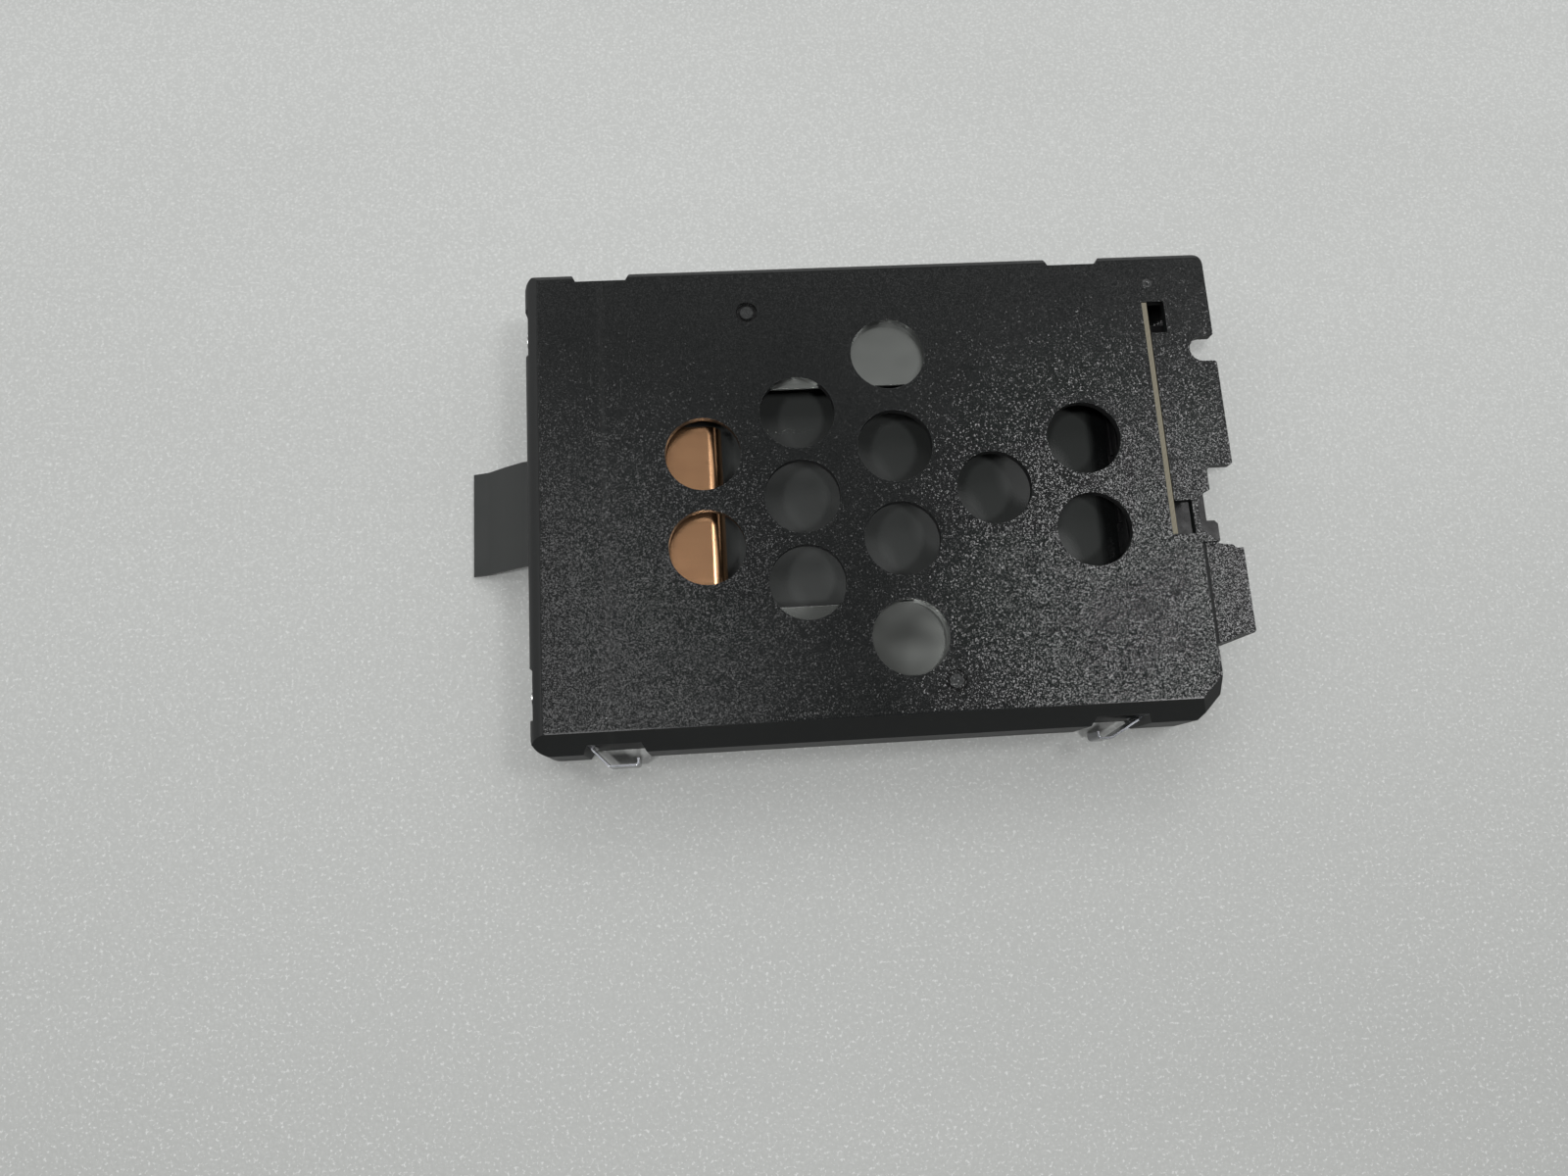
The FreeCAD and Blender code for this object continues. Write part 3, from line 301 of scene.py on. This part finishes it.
def cover_marks(tree, body, normal):
    """Small marks on the cover: sink grooves darkened with painted shade, an ejector ring with a
    painted highlight, a dot darkened with painted shade, a sink line darkened with painted shade,
    and scratches.
    """
    for centre in SINK_MARKS:
        away = tree.distance(centre)
        inner = tree.remap(away, *GROOVE_INNER_RIM)
        outer = tree.remap(away, *GROOVE_OUTER_RIM)
        # painted shade: the groove around each sink mark is darkened
        groove_shade = tree.product(tree.product(inner, outer), 0.85)
        body = tree.mix(groove_shade, body, rgb(0.002, 0.002, 0.002))
        stub = tree.product(tree.remap(away, *STUB_RIM), tree.noise(2100.0, 3.0, 0.7))
        body = tree.mix(tree.product(stub, 0.9), body, rgb(0.075, 0.078, 0.078))
    # painted highlight: the raised ejector ring is tinted lighter; painted shade: the sunken dot
    # is tinted near black
    raised = (EJECTOR_RING, EJECTOR_RING_RADIUS, 1.0, rgb(0.06, 0.062, 0.062))
    sunken = (SMALL_DOT, SMALL_DOT_RADIUS, -1.0, rgb(0.002, 0.002, 0.002))
    for centre, radius, way, painted_light_shade_tint in (raised, sunken):
        ring = tree.remap(tree.apart(tree.distance(centre), radius), radius * 0.6, 0.0)
        normal = tree.bump(tree.product(ring, way), 0.16 * MM, 1.0, normal)
        body = tree.mix(tree.product(ring, 0.7), body, painted_light_shade_tint)
    x, y, _ = tree.split(tree.place())
    # a faint sink line across the cover behind its front wall, darkened with painted shade
    sink_line_shade = tree.remap(tree.apart(x, SHELL_LOW[0] + SINK_LINE_FROM_FRONT), *SINK_LINE_FADE)
    body = tree.mix(tree.product(sink_line_shade, 0.4), body, rgb(0.020, 0.021, 0.021))
    # hair-thin scratches in the far front corner
    streak = tree.remap(tree.noise(1.0, 2.0, 0.5, tree.stretched(1500.0, 120.0, 1.0)), 0.70, 0.78)
    corner = tree.product(tree.remap(x, *SCRATCHED_X), tree.remap(y, *SCRATCHED_Y))
    scratch = tree.product(tree.product(streak, corner), 0.5)
    return tree.mix(scratch, body, rgb(0.09, 0.092, 0.092)), normal


def brushed_metal(name, light, dark, rough, streak, scratch=0.12):
    """Rolled metal with fine streaks along one axis, faint stains and brighter cut edges."""
    made, tree, shader = new_material(name, metallic=1.0)
    lines = tree.noise(1.0, 3.0, 0.65, tree.stretched(*streak))
    colour = tree.mix(tree.noise(40.0, 2.0, 0.4), light, dark)
    colour = tree.mix(tree.product(tree.edge_wear(0.12 * MM), 0.4), colour, rgb(0.9, 0.9, 0.9))
    roughness = tree.remap(lines, 0.25, 0.75, rough - 0.06, rough + 0.08)
    normal = tree.bump(lines, 0.02 * MM, scratch, tree.soft_edges(0.08 * MM))
    set_shader(tree, shader, colour, roughness, normal)
    return made


def copper_sheet():
    """Bright copper with a slight tarnish, fine streaks along its length and paler edges."""
    made, tree, shader = new_material("copper_strip", metallic=1.0)
    lines = tree.noise(1.0, 3.0, 0.6, tree.stretched(60.0, 1500.0, 60.0))
    tarnish = tree.remap(tree.noise(130.0, 4.0, 0.6), 0.35, 0.75)
    colour = tree.mix(tarnish, rgb(0.88, 0.50, 0.27), rgb(0.74, 0.41, 0.22))
    colour = tree.mix(tree.product(tree.edge_wear(0.12 * MM), 0.5), colour, rgb(0.95, 0.75, 0.6))
    roughness = tree.remap(lines, 0.25, 0.75, 0.20, 0.23)
    normal = tree.bump(lines, 0.015 * MM, 0.05, tree.soft_edges(0.08 * MM))
    set_shader(tree, shader, colour, roughness, normal)
    return made


def film():
    """Grey semi-matt film with faint lengthwise streaks and rubbed patches."""
    made, tree, shader = new_material("grey_film", specular=0.4)
    lines = tree.noise(1.0, 3.0, 0.6, tree.stretched(90.0, 1200.0, 90.0))
    patches = tree.noise(160.0, 4.0, 0.6)
    colour = tree.mix(patches, rgb(0.032, 0.035, 0.034), rgb(0.050, 0.053, 0.051))
    colour = tree.mix(tree.product(tree.edge_wear(0.15 * MM), 0.5), colour, rgb(0.17, 0.17, 0.17))
    roughness = tree.remap(patches, 0.3, 0.7, 0.42, 0.56)
    normal = tree.bump(lines, 0.02 * MM, 0.25)
    normal = tree.bump(tree.noise(3000.0, 2.0), 0.02 * MM, 0.3, normal)
    set_shader(tree, shader, colour, roughness, normal)
    return made


def laminate():
    """Glass-filled board: dark green mask on the faces, beige layered core on the cut edges."""
    made, tree, shader = new_material("board_laminate")
    face = tree.remap(tree.math("ABSOLUTE", tree.face_normal()["X"]), 0.5, 0.9)
    low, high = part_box("interposer_board")
    layer_count = 4.0
    turns = layer_count * math.tau / (high[0] - low[0])
    depth = tree.math("SUBTRACT", tree.split(tree.place())["X"], low[0])
    layers = tree.remap(tree.math("SINE", tree.product(depth, turns)), -1.0, 1.0)
    weave = tree.noise(1400.0, 3.0, 0.6)
    core = tree.mix(layers, rgb(0.16, 0.14, 0.09), rgb(0.30, 0.28, 0.22))
    core = tree.mix(tree.remap(weave, 0.5, 0.8, 0.0, 0.6), core, rgb(0.26, 0.23, 0.16))
    mask = tree.mix(tree.noise(300.0, 3.0), rgb(0.010, 0.050, 0.028), rgb(0.016, 0.075, 0.040))
    roughness = tree.remap(face, 0.0, 1.0, 0.75, 0.34)
    normal = tree.bump(weave, 0.03 * MM, 0.5, tree.soft_edges(0.06 * MM))
    set_shader(tree, shader, tree.mix(face, core, mask), roughness, normal)
    return made


def moulded(name, dark, light, rough):
    """Plain moulded plastic with a slight mottle, soft edges and a fine skin."""
    made, tree, shader = new_material(name)
    mottle = tree.noise(380.0, 4.0, 0.6)
    colour = tree.mix(mottle, dark, light)
    colour = tree.mix(tree.product(tree.edge_wear(0.2 * MM), 0.4), colour, rgb(0.15, 0.15, 0.15))
    roughness = tree.remap(mottle, 0.3, 0.7, rough - 0.05, rough + 0.08)
    normal = tree.bump(tree.noise(2600.0, 2.0), 0.03 * MM, 0.4, tree.soft_edges(0.1 * MM))
    set_shader(tree, shader, colour, roughness, normal)
    return made


def floor_material():
    """Pale board with a dense fine glitter, with painted light that makes it lighter towards the
    far side.
    """
    made, tree, shader = new_material("floor_speckle", specular=0.3)
    cell = tree.cells(1500.0).outputs["Distance"]
    spark = tree.remap(tree.noise(1700.0, 2.0, 0.6), 0.55, 0.72)
    cloud = tree.noise(1.0, 3.0, 0.5, tree.stretched(5.0, 16.0, 5.0))
    cloud = tree.remap(cloud, 0.35, 0.65, 0.0, 0.35)
    # painted light: the floor grows lighter towards the far side
    painted_light_far_side = tree.remap(tree.split(tree.place())["Y"], -0.16, 0.10)
    base = tree.mix(painted_light_far_side, rgb(0.50, 0.51, 0.495), rgb(0.71, 0.725, 0.71))
    base = tree.mix(cloud, base, rgb(0.60, 0.61, 0.595))
    base = tree.mix(tree.remap(cell, 0.2, 0.6, 0.0, 0.30), base, rgb(0.46, 0.47, 0.455))
    base = tree.mix(tree.product(spark, 0.6), base, rgb(0.86, 0.87, 0.86))
    set_shader(tree, shader, base, 0.5, tree.bump(cell, 0.10 * MM, 0.35))
    return made


def paint_everything():
    dress_nodes(grained_plastic("cover_plastic", True), "top_shell")
    dress_nodes(grained_plastic("tray_plastic", False), "bottom_tray")
    steel = brushed_metal("rail_steel", rgb(0.46, 0.48, 0.455), rgb(0.42, 0.44, 0.42),
                          0.16, (30.0, 42.0, 30.0), 0.0)
    dress_nodes(steel, "near_rail", "far_rail")
    spring = brushed_metal("spring_steel", rgb(0.22, 0.225, 0.235), rgb(0.12, 0.125, 0.14),
                           0.18, (90.0, 90.0, 900.0), 0.04)
    dress_nodes(spring, "clip_front_near", "clip_rear_near")
    dress_nodes(copper_sheet(), "copper_leaf")
    dress_nodes(laminate(), "interposer_board")
    chip = moulded("chip_ceramic", rgb(0.30, 0.21, 0.13), rgb(0.38, 0.28, 0.18), 0.45)
    dress_nodes(chip, "board_components")
    black = moulded("connector_plastic", rgb(0.007, 0.007, 0.008), rgb(0.012, 0.012, 0.013), 0.38)
    dress_nodes(black, "drive_receptacle", "host_plug")
    gold = brushed_metal("contact_gold", rgb(0.90, 0.66, 0.28), rgb(0.80, 0.56, 0.22),
                         0.22, (60.0, 1900.0, 60.0))
    for carrier in ("receptacle", "plug"):
        dress_nodes(gold, carrier + "_power_contacts", carrier + "_signal_contacts")
    dress_nodes(film(), "pull_tab")
    clamp = moulded("clamp_plastic", rgb(0.018, 0.019, 0.020), rgb(0.030, 0.031, 0.032), 0.45)
    dress_nodes(clamp, "tab_clamp_bar")
    zinc = brushed_metal("screw_steel", rgb(0.62, 0.62, 0.60), rgb(0.44, 0.45, 0.45),
                         0.28, (900.0, 900.0, 900.0))
    dress_nodes(zinc, "front_screw_near", "front_screw_far")
    dress_nodes(zinc, "rear_screw_near", "rear_screw_far", "tab_clamp_screws")


# --- surroundings --------------------------------------------------------------------------

def make_floor():
    """A wide plain floor, a hair below the tray's underside so that the two don't coincide."""
    mesh = bpy.data.meshes.new("floor")
    level = cad_low[2] - FLOOR_GAP
    signs = ((-1, -1), (1, -1), (1, 1), (-1, 1))
    corners = [(x * FLOOR_HALF, y * FLOOR_HALF, level) for x, y in signs]
    mesh.from_pydata(corners, [], [(0, 1, 2, 3)])
    mesh.materials.append(floor_material())
    floor = bpy.data.objects.new("floor", mesh)
    bpy.context.scene.collection.objects.link(floor)


def add_lamp(name, slope, size, radiance):
    """An area lamp overhead, at the given slopes from the vertical, facing the caddy.

    The size is in slopes too, and the brightness is per unit of area."""
    data = bpy.data.lights.new(name, "AREA")
    data.shape = "RECTANGLE"
    data.size, data.size_y = size[0] * LAMP_HEIGHT, size[1] * LAMP_HEIGHT
    data.energy = radiance * math.pi * data.size * data.size_y
    lamp = bpy.data.objects.new(name, data)
    lamp.location = (slope[0] * LAMP_HEIGHT, slope[1] * LAMP_HEIGHT, LAMP_HEIGHT)
    lamp.rotation_euler = (-Vector(lamp.location)).to_track_quat("-Z", "Y").to_euler()
    bpy.context.scene.collection.objects.link(lamp)


def light_world():
    """A dim room: darkest straight overhead and on the near side, brighter beyond the far side."""
    world = bpy.data.worlds.new("studio")
    bpy.context.scene.world = world
    tree = Tree(world)
    way = tree.split(tree.add("ShaderNodeTexCoord").outputs["Generated"])
    overhead = tree.remap(way["Y"], 0.08, 0.46, 0.05, 0.26)
    overhead = tree.product(overhead, tree.remap(way["X"], 0.0, 0.4, 1.0, 0.5))
    around = tree.remap(way["Y"], -0.45, 0.6, 0.04, 0.75)
    room = tree.blend(tree.remap(way["Z"], 0.70, 0.90), around, overhead)
    seen = tree.add("ShaderNodeLightPath").outputs["Is Camera Ray"]
    background = tree.nodes["Background"]
    tree.feed(rgb(1.0, 1.0, 1.0), background.inputs["Color"])
    tree.feed(tree.blend(seen, room, BACKGROUND_STRENGTH), background.inputs["Strength"])


def light_scene():
    """Two small strong lamps on the near side, which reach the tray, and three soft ones."""
    light_world()
    add_lamp("key_left", (-0.32, -0.24), (0.08, 0.08), 110.0)
    add_lamp("key_right", (0.05, -0.30), (0.08, 0.08), 110.0)
    add_lamp("soft_right", (0.50, 0.15), (0.24, 0.20), 10.0)
    add_lamp("soft_left", (-0.21, 0.12), (0.18, 0.30), 3.4)
    add_lamp("soft_back", (0.20, 1.40), (0.90, 0.50), 2.6)


def make_camera():
    data = bpy.data.cameras.new("camera")
    data.sensor_width = CAMERA_SENSOR
    data.lens = CAMERA_LENS
    data.clip_start = 10.0 * MM
    camera = bpy.data.objects.new("camera", data)
    camera.location = CAMERA_PLACE
    camera.rotation_euler = Euler([math.radians(angle) for angle in CAMERA_ANGLES], "XYZ")
    bpy.context.scene.collection.objects.link(camera)
    bpy.context.scene.camera = camera


# --- finishing -----------------------------------------------------------------------------


make_camera()
make_floor()
light_scene()
paint_everything()
bpy.context.scene.view_settings.view_transform = "Standard"
